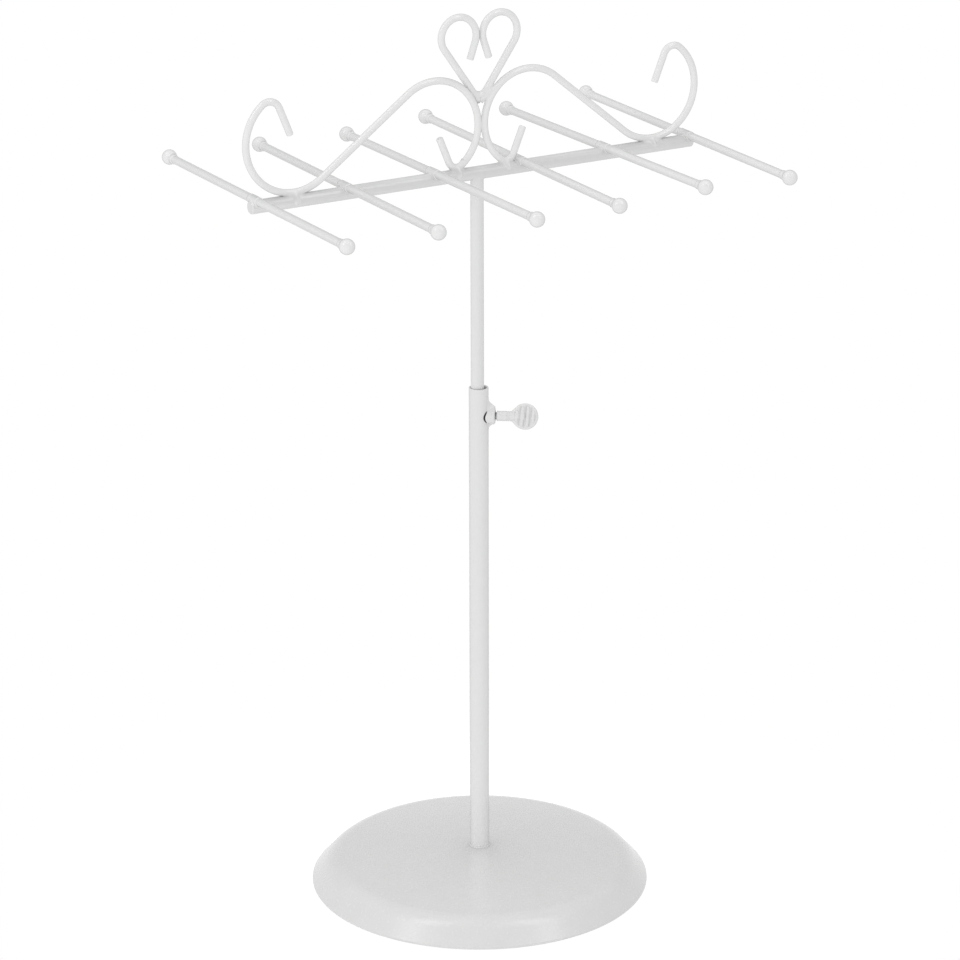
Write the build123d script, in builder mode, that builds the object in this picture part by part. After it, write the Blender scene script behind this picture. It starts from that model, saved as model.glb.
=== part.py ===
"""Jewelry stand: weighted round base, two telescoping tubes with a thumb-screw clamp,
a crossbar with six ball-ended rods, and wire scrolls with a heart on top.

Millimetres. Origin on the table under the middle of the base, +Z up, +X along the crossbar.
"""
import os
from math import asin, atan2, cos, degrees, hypot, radians, sin, sqrt, tan

from build123d import *

# Base: a pressed sheet dome on a foam ring, with a cast weight bolted under its crown
base_d = 209.6  # across the rim
base_h = 22.4  # table to the top of the crown
crown_r = 600.0  # crown's radius
shoulder_r = 16.0  # round between crown and flank
flank_angle = 48.0  # flank against the table, degrees
sheet_t = 1.0
flange_w = 13.0  # rim turned in under the dome
rim_bend_r = 1.0
pad_t = 0.6
pad_w = 9.0
pad_inset = 2.5  # foam ring's edge in from the rim
weight_d = 140.0
weight_t = 7.0  # at the middle
paint_gap = 0.1  # coating between pieces that are clamped together

# Bolt that holds the lower tube to the base
bolt_d = 6.0
bolt_hole_gap = 0.3  # radial
bolt_head_af = 10.0
bolt_head_h = 4.0
bolt_grip = 11.0  # thread inside the foot plug
bolt_edge = 0.7
washer_d = 18.0
washer_t = 1.6
spring_washer_d = 11.0
spring_washer_t = 1.6
spring_washer_slit = 1.4
foot_washer_d = 13.4
foot_washer_t = 1.0
foot_washer_edge_r = 0.3
foot_plug_l = 16.0
thread_gap = 0.05  # radial, screw thread in its nut

# Telescoping tubes
lower_d = 12.0
lower_wall = 1.2
lower_l = 300.0
upper_d = 8.0
upper_wall = 1.0
upper_l = 300.0  # lower end to the crossbar's axis
tube_edge_r = 0.4
slide_gap = 0.05  # upper tube to the bore wall that the screw presses it against
height_setting = 129.0  # lower tube's top to the crossbar's underside
end_plug_flange_t = 2.5
end_plug_stem_l = 14.0
end_plug_edge = 0.6
end_plug_gap = 0.05  # radial in the tube, and under the tube's end

# Clamp: a threaded boss welded to the lower tube, and its thumb screw
screw_drop = 17.9  # screw's axis below the lower tube's top
screw_angle = -35.0  # screw's direction from +X, degrees
boss_d = 10.4
boss_reach = 10.0  # tube's axis to the boss's face
boss_edge = 0.6
boss_mouth_d = 7.6  # countersunk mouth of the boss's thread
boss_fit_gap = 0.8  # boss's saddle to the tube, between the welds
boss_weld_rise = 10.8  # weld above the screw's axis
boss_weld_drop = 8.4  # weld below the screw's axis
boss_weld_w = 7.0
boss_weld_wrap = 1.4  # weld below the boss's top and above its underside
boss_weld_lean = 0.25  # weld's first slope away from the tube
stud_d = 5.0
stud_pitch = 0.8
stud_thread_depth = 0.4
stud_grip = 7.0  # stud inside the head's neck
tube_hole_gap = 0.3  # radial, stud through the lower tube's wall
tip_d = 4.4
tip_l = 2.0
tip_peg_d = 2.0
tip_peg_l = 2.2
tip_gap = 0.04  # tip to the upper tube, and tip to stud
head_gap = 1.0  # boss's face to the neck
neck_d = 6.1
neck_l = 8.9
neck_groove_w = 0.7
neck_groove_depth = 0.25
neck_groove_pitch = 1.3
paddle_d = 15.8
paddle_t = 4.4
paddle_edge_r = 1.2
paddle_flare = 45.0  # sides from neck to disc, degrees
paddle_tilt = 20.0  # paddle's face turned up about the screw, degrees
rib_count = 4
rib_pitch = 3.3
rib_r = 1.15
rib_sink = 0.45  # rib's axis below the paddle's face
rib_margin = 0.9
rib_lean = 7.0  # ribs from square across the screw, degrees

# Crossbar and the six rods
bar_d = 8.0
bar_l = 300.0
bar_edge = 0.6
rod_d = 5.0
rod_count = 6
rod_inset = 3.5  # outermost rod's axis from the bar's end
rod_sink = 2.65  # rod's underside below the bar's top
rod_span = 223.8  # ball centre to ball centre
ball_d = 9.2
ball_grip = 1.0  # rod's end past the ball's centre
rod_slips = (0.6, 0.0, -5.4, 0.9, 1.9, 2.2)  # each rod's middle behind the bar, left to right
rod_swings = (0.2, 0.8, -0.2, -0.2, -0.4, -0.6)  # each rod's back end towards +X, degrees
rod_lifts = (-0.2, -0.2, -0.2, 0.8, -0.5, 0.8)  # each rod's back end upwards, degrees

# Scrolls and heart, bent from one wire size
wire_d = 4.2
wire_edge_r = 0.7
wire_sink = 1.0  # wire's underside below the bar's top
twin_gap = 0.1  # between wires that touch side by side
ornament_shift = 3.0  # where the scrolls meet, from the bar's middle
hook_r = 30.3
hook_inset = 28.5  # hook's lowest point from the bar's end
hook_rise = 55.2  # hook's lowest point to its highest
hook_bend_r = 7.0
hook_end_l = 18.0
hook_end_lean = 22.0  # from vertical, degrees
arch_r = 29.5
arch_rise = 53.75  # scroll's foot to the arch's top
curl_bend_r = 5.6
curl_end_l = 17.0
curl_end_lean = 22.5  # from vertical, degrees
loop_r = 11.7
loop_rise = 30.5  # heart's lower bend to its loops, centre to centre
heart_bend_r = 5.6
heart_set_back = 2.0  # heart's wire behind the scrolls' wires
loop_past = 19.0  # loop's arc past its innermost point, degrees
heart_end_l = 11.2

# Weld beads
wire_bead_r = 1.3
wire_bead_l = 5.0
rod_bead_r = 1.0
rod_bead_l = 3.0
pole_bead_r = 1.1
pole_bead_l = 3.5

# Derived places
base_r = base_d / 2
lower_r = lower_d / 2
bore_r = lower_r - lower_wall
upper_r = upper_d / 2
bar_r = bar_d / 2
rod_r = rod_d / 2
ball_r = ball_d / 2
wire_r = wire_d / 2
stud_r = stud_d / 2
bolt_hole_r = bolt_d / 2 + bolt_hole_gap

lower_z = base_h + foot_washer_t
lower_top = lower_z + lower_l
screw_z = lower_top - screw_drop
bar_z = lower_top + height_setting + bar_r
upper_z = bar_z - upper_l
rod_z = bar_z + bar_r - rod_sink + rod_r

screw_dir = (cos(radians(screw_angle)), sin(radians(screw_angle)), 0)
side_dir = (sin(radians(screw_angle)), -cos(radians(screw_angle)), 0)
screw_plane = Plane(origin=(0, 0, screw_z), x_dir=screw_dir, z_dir=side_dir)
screw_axis = Axis((0, 0, screw_z), screw_dir)
paddle_lean = cos(radians(paddle_tilt))
paddle_face = (side_dir[0] * paddle_lean, side_dir[1] * paddle_lean, sin(radians(paddle_tilt)))
paddle_plane = Plane(origin=(0, 0, screw_z), x_dir=screw_dir, z_dir=paddle_face)

# The screw pushes the upper tube, and all that it carries, against the far side of the bore
push = bore_r - upper_r - slide_gap
head_x = -push * screw_dir[0]
head_y = -push * screw_dir[1]
pole_plane = Plane.XY.offset(upper_z).shift_origin((head_x, head_y, upper_z))
pole_mirror = Plane(origin=(head_x, head_y, 0), z_dir=(1, 0, 0))
ornament_x = head_x + ornament_shift
ornament_plane = Plane(origin=(ornament_x, head_y, 0), x_dir=(1, 0, 0), z_dir=(0, -1, 0))
ornament_mirror = Plane(origin=(ornament_x, head_y, 0), z_dir=(1, 0, 0))
bar_plane = Plane(origin=(head_x - bar_l / 2, head_y, bar_z), z_dir=(1, 0, 0))


def on_circle(centre, radius, angle):
    """Point of a circle at an angle in degrees."""
    return (centre[0] + radius * cos(radians(angle)), centre[1] + radius * sin(radians(angle)))


def further(point, length, angle):
    """Point a length away from another, at an angle in degrees."""
    return on_circle(point, length, angle)


def bead(middle, along, length, radius):
    """Round-ended weld bead, added to the part that is being built."""
    with Locations(Plane(origin=middle, z_dir=along)):
        Cylinder(radius, length)
        with Locations((0, 0, -length / 2), (0, 0, length / 2)):
            Sphere(radius)


os.makedirs("parts", exist_ok=True)

# Base dome: crown, shoulder and flank as one skin, with the rim turned in
flank_over = 10.0  # flank drawn on past the crown, then trimmed by it
flank_top = base_h + flank_over
flank_run = (flank_top - pad_t) / tan(radians(flank_angle))
rim_corner = base_r + rim_bend_r * (1 / tan(radians(flank_angle / 2)) - 1)  # before the rim is rounded
with BuildPart() as base_dome:
    with BuildSketch(Plane.XZ) as dome_section:
        with BuildLine():
            Polyline(
                (-weight_d / 2, pad_t),
                (rim_corner, pad_t),
                (rim_corner - flank_run, flank_top),
                (-weight_d / 2, flank_top),
                close=True,
            )
        make_face()
        with Locations((0, base_h - crown_r)):
            Circle(crown_r, mode=Mode.INTERSECT)
        dome_corners = dome_section.vertices().filter_by(lambda corner: corner.X > 0)
        fillet(dome_corners.sort_by(Axis.Y)[-1], shoulder_r)
        fillet(dome_section.vertices().sort_by(Axis.X)[-1], rim_bend_r)
        offset(amount=-sheet_t, mode=Mode.SUBTRACT)
        with Locations((bolt_hole_r, 0)):
            Rectangle(weight_d, 2 * flank_top, align=(Align.MAX, Align.CENTER), mode=Mode.SUBTRACT)
        with Locations((base_r - flange_w, pad_t + sheet_t / 2)):
            Rectangle(base_d, 2 * sheet_t, align=(Align.MAX, Align.CENTER), mode=Mode.SUBTRACT)
    revolve(axis=Axis.Z)
base_dome.part.label = "base_dome"
export_step(base_dome.part, "parts/base_dome.step")

# Foam ring under the turned-in rim, which the stand rests on
with BuildPart() as base_pad:
    with BuildSketch():
        Circle(base_r - pad_inset)
        Circle(base_r - pad_inset - pad_w, mode=Mode.SUBTRACT)
    extrude(amount=pad_t)
base_pad.part.label = "base_pad"
export_step(base_pad.part, "parts/base_pad.step")

# Cast weight that follows the underside of the crown
weight_top = base_h - sheet_t - paint_gap
weight_z = weight_top - weight_t
with BuildPart() as base_weight:
    with BuildSketch(Plane.XZ):
        with Locations((bolt_hole_r, weight_z)):
            Rectangle(weight_d / 2 - bolt_hole_r, base_h, align=(Align.MIN, Align.MIN))
        with Locations((0, base_h - crown_r)):
            Circle(crown_r - sheet_t - paint_gap, mode=Mode.INTERSECT)
    revolve(axis=Axis.Z)
base_weight.part.label = "base_weight"
export_step(base_weight.part, "parts/base_weight.step")

# Washers under the weight: a flat one, then a split spring one
washer_z = weight_z - washer_t
with BuildPart() as base_washer:
    with BuildSketch(Plane.XY.offset(washer_z)):
        Circle(washer_d / 2)
        Circle(bolt_hole_r, mode=Mode.SUBTRACT)
    extrude(amount=washer_t)
base_washer.part.label = "base_washer"
export_step(base_washer.part, "parts/base_washer.step")

spring_washer_z = washer_z - spring_washer_t
with BuildPart() as spring_washer:
    with BuildSketch(Plane.XY.offset(spring_washer_z)):
        Circle(spring_washer_d / 2)
        Circle(bolt_hole_r, mode=Mode.SUBTRACT)
        Rectangle(spring_washer_d, spring_washer_slit, align=(Align.MIN, Align.CENTER), mode=Mode.SUBTRACT)
    extrude(amount=spring_washer_t)
spring_washer.part.label = "spring_washer"
export_step(spring_washer.part, "parts/spring_washer.step")

# Hex bolt up through weight and dome into the lower tube's plug
bolt_head_z = spring_washer_z - bolt_head_h
with BuildPart() as base_bolt:
    with BuildSketch(Plane.XY.offset(bolt_head_z)):
        RegularPolygon(bolt_head_af / 2, 6, major_radius=False)
    extrude(amount=bolt_head_h)
    with BuildSketch(Plane.XY.offset(spring_washer_z)):
        Circle(bolt_d / 2)
    extrude(amount=lower_z + bolt_grip - spring_washer_z)
    chamfer(base_bolt.faces().sort_by(Axis.Z)[-1].edges(), bolt_edge)
base_bolt.part.label = "base_bolt"
export_step(base_bolt.part, "parts/base_bolt.step")

# Washer that the lower tube stands on
with BuildPart() as foot_washer:
    with BuildSketch(Plane.XY.offset(base_h)):
        Circle(foot_washer_d / 2)
        Circle(bolt_hole_r, mode=Mode.SUBTRACT)
    extrude(amount=foot_washer_t)
    fillet(foot_washer.faces().sort_by(Axis.Z)[-1].edges().sort_by(SortBy.RADIUS)[-1], foot_washer_edge_r)
foot_washer.part.label = "foot_washer"
export_step(foot_washer.part, "parts/foot_washer.step")

# Threaded plug in the lower tube's foot
with BuildPart() as foot_plug:
    with BuildSketch(Plane.XY.offset(lower_z)):
        Circle(bore_r)
        Circle(bolt_d / 2 + thread_gap, mode=Mode.SUBTRACT)
    extrude(amount=foot_plug_l)
foot_plug.part.label = "foot_plug"
export_step(foot_plug.part, "parts/foot_plug.step")

# Lower tube with its hole for the clamp screw
with BuildPart() as lower_tube:
    with BuildSketch(Plane.XY.offset(lower_z)):
        Circle(lower_r)
        Circle(bore_r, mode=Mode.SUBTRACT)
    extrude(amount=lower_l)
    fillet(lower_tube.faces().sort_by(Axis.Z)[-1].edges(), tube_edge_r)
    with BuildSketch(Plane(origin=(0, 0, screw_z), z_dir=screw_dir)):
        Circle(stud_r + tube_hole_gap)
    extrude(amount=lower_d, mode=Mode.SUBTRACT)
lower_tube.part.label = "lower_tube"
export_step(lower_tube.part, "parts/lower_tube.step")

# Threaded boss, shaped to the tube's side
with BuildPart() as clamp_boss:
    with BuildSketch(Plane(origin=(0, 0, screw_z), z_dir=screw_dir)):
        Circle(boss_d / 2)
        Circle(stud_r + thread_gap, mode=Mode.SUBTRACT)
    extrude(amount=boss_reach)
    boss_face = clamp_boss.faces().sort_by(screw_axis)[-1]
    chamfer(boss_face.edges().sort_by(SortBy.RADIUS)[-1], boss_edge)
    boss_face = clamp_boss.faces().sort_by(screw_axis)[-1]
    chamfer(boss_face.edges().sort_by(SortBy.RADIUS)[0], boss_mouth_d / 2 - stud_r - thread_gap)
    with Locations((0, 0, screw_z)):
        Cylinder(lower_r + boss_fit_gap, 2 * boss_d, mode=Mode.SUBTRACT)
clamp_boss.part.label = "clamp_boss"
export_step(clamp_boss.part, "parts/clamp_boss.step")

# Welds that ramp from the tube up and down to the boss
with BuildPart() as clamp_weld:
    for side, rise in ((1, boss_weld_rise), (-1, boss_weld_drop)):
        weld_root = (lower_r - lower_wall, side * (boss_d / 2 - boss_weld_wrap))
        weld_foot = (lower_r, side * rise)
        weld_lip = (boss_reach - boss_edge, side * boss_d / 2)
        with BuildSketch(screw_plane):
            with BuildLine():
                Line(weld_lip, weld_root)
                Line(weld_root, (weld_root[0], weld_foot[1]))
                Line((weld_root[0], weld_foot[1]), weld_foot)
                TangentArc(weld_foot, weld_lip, tangent=(boss_weld_lean, -side))
            make_face()
        extrude(amount=boss_weld_w / 2, both=True)
    with BuildSketch(Plane(origin=(0, 0, screw_z), z_dir=screw_dir)):
        Circle(boss_d / 2)
    extrude(amount=boss_reach, mode=Mode.SUBTRACT)
    with Locations((0, 0, screw_z)):
        Cylinder(lower_r, 2 * (boss_weld_rise + boss_weld_drop), mode=Mode.SUBTRACT)
clamp_weld.part.label = "clamp_weld"
export_step(clamp_weld.part, "parts/clamp_weld.step")

# Soft tip that the screw presses on the upper tube, with a peg in the stud's end
tip_u = upper_r - push + tip_gap
stud_u = tip_u + tip_l + tip_gap
with BuildPart() as screw_tip:
    with BuildSketch(screw_plane):
        with BuildLine():
            Polyline(
                (tip_u, 0),
                (tip_u, tip_d / 2),
                (tip_u + tip_l, tip_d / 2),
                (tip_u + tip_l, tip_peg_d / 2),
                (stud_u + tip_peg_l, tip_peg_d / 2),
                (stud_u + tip_peg_l, 0),
                close=True,
            )
        make_face()
    revolve(axis=screw_axis)
screw_tip.part.label = "screw_tip"
export_step(screw_tip.part, "parts/screw_tip.step")

# Threaded stud: its thread stands as rings from the tip to the neck
neck_u = boss_reach + head_gap
thread_count = int((neck_u - stud_u) / stud_pitch)
with BuildPart() as screw_stud:
    with BuildSketch(Plane(origin=screw_plane.from_local_coords((stud_u, 0, 0)), z_dir=screw_dir)):
        Circle(stud_r)
    extrude(amount=neck_u + stud_grip - stud_u)
    with BuildSketch(screw_plane):
        for turn in range(thread_count):
            groove_u = stud_u + (turn + 0.5) * stud_pitch
            with BuildLine():
                Polyline(
                    (groove_u - stud_thread_depth, stud_r),
                    (groove_u, stud_r - stud_thread_depth),
                    (groove_u + stud_thread_depth, stud_r),
                    close=True,
                )
            make_face()
    revolve(axis=screw_axis, mode=Mode.SUBTRACT)
    with BuildSketch(Plane(origin=screw_plane.from_local_coords((stud_u, 0, 0)), z_dir=screw_dir)):
        Circle(tip_peg_d / 2 + thread_gap)
    extrude(amount=tip_peg_l + tip_gap, mode=Mode.SUBTRACT)
screw_stud.part.label = "screw_stud"
export_step(screw_stud.part, "parts/screw_stud.step")

# Thumb-screw head: round neck, flared paddle disc and ribs across both faces
paddle_r = paddle_d / 2
flare_u = neck_u + neck_l
flare_end = on_circle((0, 0), paddle_r, 90 + paddle_flare)
paddle_u = flare_u + (flare_end[1] - neck_d / 2) / tan(radians(paddle_flare)) - flare_end[0]
with BuildPart() as screw_head:
    with BuildSketch(paddle_plane):
        with Locations((paddle_u, 0)):
            Circle(paddle_r)
        with BuildLine():
            Polyline(
                (flare_u, -neck_d / 2),
                (paddle_u + flare_end[0], -flare_end[1]),
                (paddle_u, 0),
                (paddle_u + flare_end[0], flare_end[1]),
                (flare_u, neck_d / 2),
                close=True,
            )
        make_face()
    extrude(amount=paddle_t / 2, both=True)
    fillet(screw_head.faces().filter_by(Axis(screw_plane.origin, paddle_plane.z_dir)).edges(), paddle_edge_r)
    rib_dir = paddle_plane.rotated((0, 0, -rib_lean)).y_dir
    for face_side in (-1, 1):
        rib_plane = paddle_plane.offset(face_side * (paddle_t / 2 - rib_sink))
        for rib in range(rib_count):
            across = (rib - (rib_count - 1) / 2) * rib_pitch
            rib_l = 2 * sqrt((paddle_r - rib_margin - rib_r) ** 2 - across**2)
            rib_middle = rib_plane.from_local_coords((paddle_u + across, 0, 0))
            bead(rib_middle, rib_dir, rib_l - rib_r, rib_r)
    with BuildSketch(Plane(origin=screw_plane.from_local_coords((neck_u, 0, 0)), z_dir=screw_dir)):
        Circle(neck_d / 2)
    extrude(amount=paddle_u - neck_u)
    with BuildSketch(screw_plane):
        for groove in (1, 2):
            with Locations((flare_u - groove * neck_groove_pitch, neck_d / 2)):
                Rectangle(neck_groove_w, 2 * neck_groove_depth)
    revolve(axis=screw_axis, mode=Mode.SUBTRACT)
    with BuildSketch(Plane(origin=screw_plane.from_local_coords((neck_u, 0, 0)), z_dir=screw_dir)):
        Circle(stud_r)
    extrude(amount=stud_grip, mode=Mode.SUBTRACT)
screw_head.part.label = "screw_head"
export_step(screw_head.part, "parts/screw_head.step")

# Upper tube, saddle-cut to the underside of the crossbar
with BuildPart() as upper_tube:
    with BuildSketch(pole_plane):
        Circle(upper_r)
        Circle(upper_r - upper_wall, mode=Mode.SUBTRACT)
    extrude(amount=upper_l)
    with BuildSketch(bar_plane):
        Circle(bar_r)
    extrude(amount=bar_l, mode=Mode.SUBTRACT)
upper_tube.part.label = "upper_tube"
export_step(upper_tube.part, "parts/upper_tube.step")

# Plug in the upper tube's lower end
with BuildPart() as end_plug:
    with BuildSketch(pole_plane.offset(-end_plug_gap)):
        Circle(upper_r)
    extrude(amount=-end_plug_flange_t)
    chamfer(end_plug.faces().sort_by(Axis.Z)[0].edges(), end_plug_edge)
    with BuildSketch(pole_plane.offset(-end_plug_gap)):
        Circle(upper_r - upper_wall - end_plug_gap)
    extrude(amount=end_plug_stem_l)
    chamfer(end_plug.faces().sort_by(Axis.Z)[-1].edges(), end_plug_edge)
end_plug.part.label = "end_plug"
export_step(end_plug.part, "parts/end_plug.step")

# Rods across the bar, each with a ball on both ends
rod_pitch = (bar_l - 2 * rod_inset) / (rod_count - 1)
rod_places = [head_x + (rod - (rod_count - 1) / 2) * rod_pitch for rod in range(rod_count)]
rod_l = rod_span + 2 * ball_grip
rods = []
for number, rod_x in enumerate(rod_places, start=1):
    rod_swing = tan(radians(rod_swings[number - 1]))
    rod_lift = tan(radians(rod_lifts[number - 1]))
    rod_plane = Plane(origin=(rod_x, head_y, rod_z), z_dir=(rod_swing, 1, rod_lift))
    rod_plane = rod_plane.offset(rod_slips[number - 1])
    with BuildPart() as rod:
        with BuildSketch(rod_plane):
            Circle(rod_r)
        extrude(amount=rod_l / 2, both=True)
    rod.part.label = f"rod_{number}"
    export_step(rod.part, f"parts/rod_{number}.step")
    rods.append(rod.part)
    for end_name, end_side in (("front", -1), ("back", 1)):
        with BuildPart() as ball:
            with Locations(rod_plane.offset(end_side * rod_span / 2)):
                Sphere(ball_r)
            add(rod.part, mode=Mode.SUBTRACT)
        ball.part.label = f"ball_{number}_{end_name}"
        export_step(ball.part, f"parts/ball_{number}_{end_name}.step")

# Scrolls, each from the hook's tip over the arch to the curl's tip
foot_z = bar_z + bar_r - wire_sink + wire_r
hook_x = bar_l / 2 - hook_inset
arch = (-(arch_r + wire_r + twin_gap / 2), foot_z + arch_rise - arch_r)
curl_turn = degrees(asin((foot_z + curl_bend_r - arch[1]) / (arch_r - curl_bend_r)))
curl_bend = on_circle(arch, arch_r - curl_bend_r, curl_turn)
curl_start = on_circle(curl_bend, curl_bend_r, curl_end_lean - 180)
curl_tip = further(curl_start, curl_end_l, curl_end_lean + 90)


def bent_scroll(hook_out):
    """Scroll for the left side, with its hook this far out from where the scrolls meet."""
    hook = (-hook_out, foot_z + hook_r)
    between = (arch[0] - hook[0], arch[1] - hook[1])
    slant = degrees(atan2(between[1], between[0]) + asin((hook_r + arch_r) / hypot(*between)))
    hook_turn = 180 - degrees(asin((hook_rise - hook_bend_r - hook_r) / (hook_r - hook_bend_r)))
    hook_bend = on_circle(hook, hook_r - hook_bend_r, hook_turn)
    hook_start = on_circle(hook_bend, hook_bend_r, hook_end_lean)
    hook_tip = further(hook_start, hook_end_l, hook_end_lean - 90)
    with BuildPart() as scroll:
        with BuildLine(ornament_plane) as scroll_path:
            Line(hook_tip, hook_start)
            CenterArc(hook_bend, hook_bend_r, hook_end_lean, hook_turn - hook_end_lean)
            CenterArc(hook, hook_r, hook_turn, 270 + slant - hook_turn)
            Line(on_circle(hook, hook_r, slant - 90), on_circle(arch, arch_r, slant + 90))
            CenterArc(arch, arch_r, slant + 90, curl_turn - slant - 90)
            CenterArc(curl_bend, curl_bend_r, curl_turn, curl_end_lean - 180 - curl_turn)
            Line(curl_start, curl_tip)
        scroll_wire = scroll_path.wire()
        with BuildSketch(Plane(origin=scroll_wire @ 0, z_dir=scroll_wire % 0)):
            Circle(wire_r)
        sweep(path=scroll_wire)
        fillet(scroll.faces().filter_by(GeomType.PLANE).edges(), wire_edge_r)
    return scroll.part


left_bent = bent_scroll(hook_x + ornament_shift)
with BuildPart() as left_scroll:
    add(left_bent)
left_scroll.part.label = "left_scroll"
export_step(left_scroll.part, "parts/left_scroll.step")

right_bent = bent_scroll(hook_x - ornament_shift)
with BuildPart() as right_scroll:
    mirror(right_bent, about=ornament_mirror)
right_scroll.part.label = "right_scroll"
export_step(right_scroll.part, "parts/right_scroll.step")

# Heart: one wire whose legs rest on the two arches, a little behind them
loop_x = loop_r + wire_r + twin_gap / 2
leg = degrees(atan2(loop_rise, loop_x) - asin((loop_r - heart_bend_r) / hypot(loop_x, loop_rise)))
leg_out = sin(radians(leg))
leg_down = cos(radians(leg))
wires_apart = wire_d + twin_gap
leg_rest = sqrt(wires_apart**2 - heart_set_back**2)  # arch's axis to the leg's axis, seen from the front
heart_z = arch[1] - (-arch[0] * leg_out - heart_bend_r - arch_r - leg_rest) / leg_down
heart_plane = ornament_plane.offset(-heart_set_back)
heart_bend = (0, heart_z)
left_loop = (-loop_x, heart_z + loop_rise)
right_loop = (loop_x, heart_z + loop_rise)
loop_arc = 270 + loop_past - leg
left_loop_end = on_circle(left_loop, loop_r, -loop_past)
right_loop_end = on_circle(right_loop, loop_r, 180 + loop_past)
with BuildPart() as heart:
    with BuildLine(heart_plane) as heart_path:
        Line(further(left_loop_end, heart_end_l, -90 - loop_past), left_loop_end)
        CenterArc(left_loop, loop_r, -loop_past, loop_arc)
        Line(on_circle(left_loop, loop_r, 270 - leg), on_circle(heart_bend, heart_bend_r, 270 - leg))
        CenterArc(heart_bend, heart_bend_r, 270 - leg, 2 * leg)
        Line(on_circle(heart_bend, heart_bend_r, leg - 90), on_circle(right_loop, loop_r, leg - 90))
        CenterArc(right_loop, loop_r, leg - 90, loop_arc)
        Line(right_loop_end, further(right_loop_end, heart_end_l, loop_past - 90))
    heart_wire = heart_path.wire()
    with BuildSketch(Plane(origin=heart_wire @ 0, z_dir=heart_wire % 0)):
        Circle(wire_r)
    sweep(path=heart_wire)
    fillet(heart.faces().filter_by(GeomType.PLANE).edges(), wire_edge_r)
heart.part.label = "heart"
export_step(heart.part, "parts/heart.step")

# Crossbar, notched where rods and scrolls are let into it
with BuildPart() as bar_blank:
    with BuildSketch(bar_plane):
        Circle(bar_r)
    extrude(amount=bar_l)
    chamfer(bar_blank.faces().filter_by(Axis.X).edges(), bar_edge)
with BuildPart() as crossbar:
    add(bar_blank.part)
    for rod_solid in rods:
        add(rod_solid, mode=Mode.SUBTRACT)
    add(left_scroll.part, mode=Mode.SUBTRACT)
    add(right_scroll.part, mode=Mode.SUBTRACT)
crossbar.part.label = "crossbar"
export_step(crossbar.part, "parts/crossbar.step")

# Weld beads beside each rod on the bar
with BuildPart() as rod_welds:
    for rod_x in rod_places:
        for bead_side in (-1, 1):
            bead((rod_x + bead_side * rod_r, head_y, bar_z + bar_r), (0, 1, 0), rod_bead_l, rod_bead_r)
    for rod_solid in rods:
        add(rod_solid, mode=Mode.SUBTRACT)
    add(left_scroll.part, mode=Mode.SUBTRACT)
    add(right_scroll.part, mode=Mode.SUBTRACT)
    add(bar_blank.part, mode=Mode.SUBTRACT)
rod_welds.part.label = "rod_welds"
export_step(rod_welds.part, "parts/rod_welds.step")

# Weld beads in front of and behind each scroll's two feet
with BuildPart() as scroll_welds:
    for foot_x in (head_x - hook_x, ornament_x + curl_bend[0], ornament_x - curl_bend[0], head_x + hook_x):
        with BuildSketch(Plane(origin=(foot_x, head_y, 0), x_dir=(0, 1, 0), z_dir=(1, 0, 0))):
            with Locations((-wire_r, bar_z + bar_r), (wire_r, bar_z + bar_r)):
                Circle(wire_bead_r)
            with Locations((0, foot_z)):
                Circle(wire_r, mode=Mode.SUBTRACT)
            with Locations((0, bar_z)):
                Circle(bar_r, mode=Mode.SUBTRACT)
        extrude(amount=wire_bead_l / 2, both=True)
    for rod_solid in rods:
        add(rod_solid, mode=Mode.SUBTRACT)
    add(rod_welds.part, mode=Mode.SUBTRACT)
scroll_welds.part.label = "scroll_welds"
export_step(scroll_welds.part, "parts/scroll_welds.step")

# Weld beads where the arches touch each other and where the heart's legs touch the arches
with BuildPart() as heart_welds:
    for bead_side in (-1, 1):
        bead((ornament_x, head_y + bead_side * wire_r, arch[1]), (0, 0, 1), wire_bead_l, wire_bead_r)
        bead_out = arch_r + leg_rest / 2 - bead_side * wire_r * heart_set_back / wires_apart
        bead_y = head_y + heart_set_back / 2 + bead_side * wire_r * leg_rest / wires_apart
        bead_z = arch[1] + bead_out * leg_down
        for leg_side in (-1, 1):
            bead_x = ornament_x + leg_side * (-arch[0] - bead_out * leg_out)
            bead((bead_x, bead_y, bead_z), (leg_side * leg_down, 0, leg_out), wire_bead_l, wire_bead_r)
    add(left_scroll.part, mode=Mode.SUBTRACT)
    add(right_scroll.part, mode=Mode.SUBTRACT)
    add(heart.part, mode=Mode.SUBTRACT)
heart_welds.part.label = "heart_welds"
export_step(heart_welds.part, "parts/heart_welds.step")

# Weld beads in the two corners between the upper tube and the bar
with BuildPart() as pole_welds:
    bead((head_x - upper_r, head_y, bar_z - bar_r), (0, 1, 0), pole_bead_l, pole_bead_r)
    with BuildSketch(pole_plane):
        Circle(upper_r)
    extrude(amount=upper_l, mode=Mode.SUBTRACT)
    add(bar_blank.part, mode=Mode.SUBTRACT)
    mirror(about=pole_mirror)
pole_welds.part.label = "pole_welds"
export_step(pole_welds.part, "parts/pole_welds.step")
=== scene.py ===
"""Looks of the jewelry stand: white powder coat, smooth welds and fittings, in a plain white studio.

Metres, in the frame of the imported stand: origin on the table, +Z up, +X along the crossbar.
"""
from math import cos, pi, radians, sin

import bmesh
import bpy
import numpy as np
from mathutils import Matrix, Vector


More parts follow.
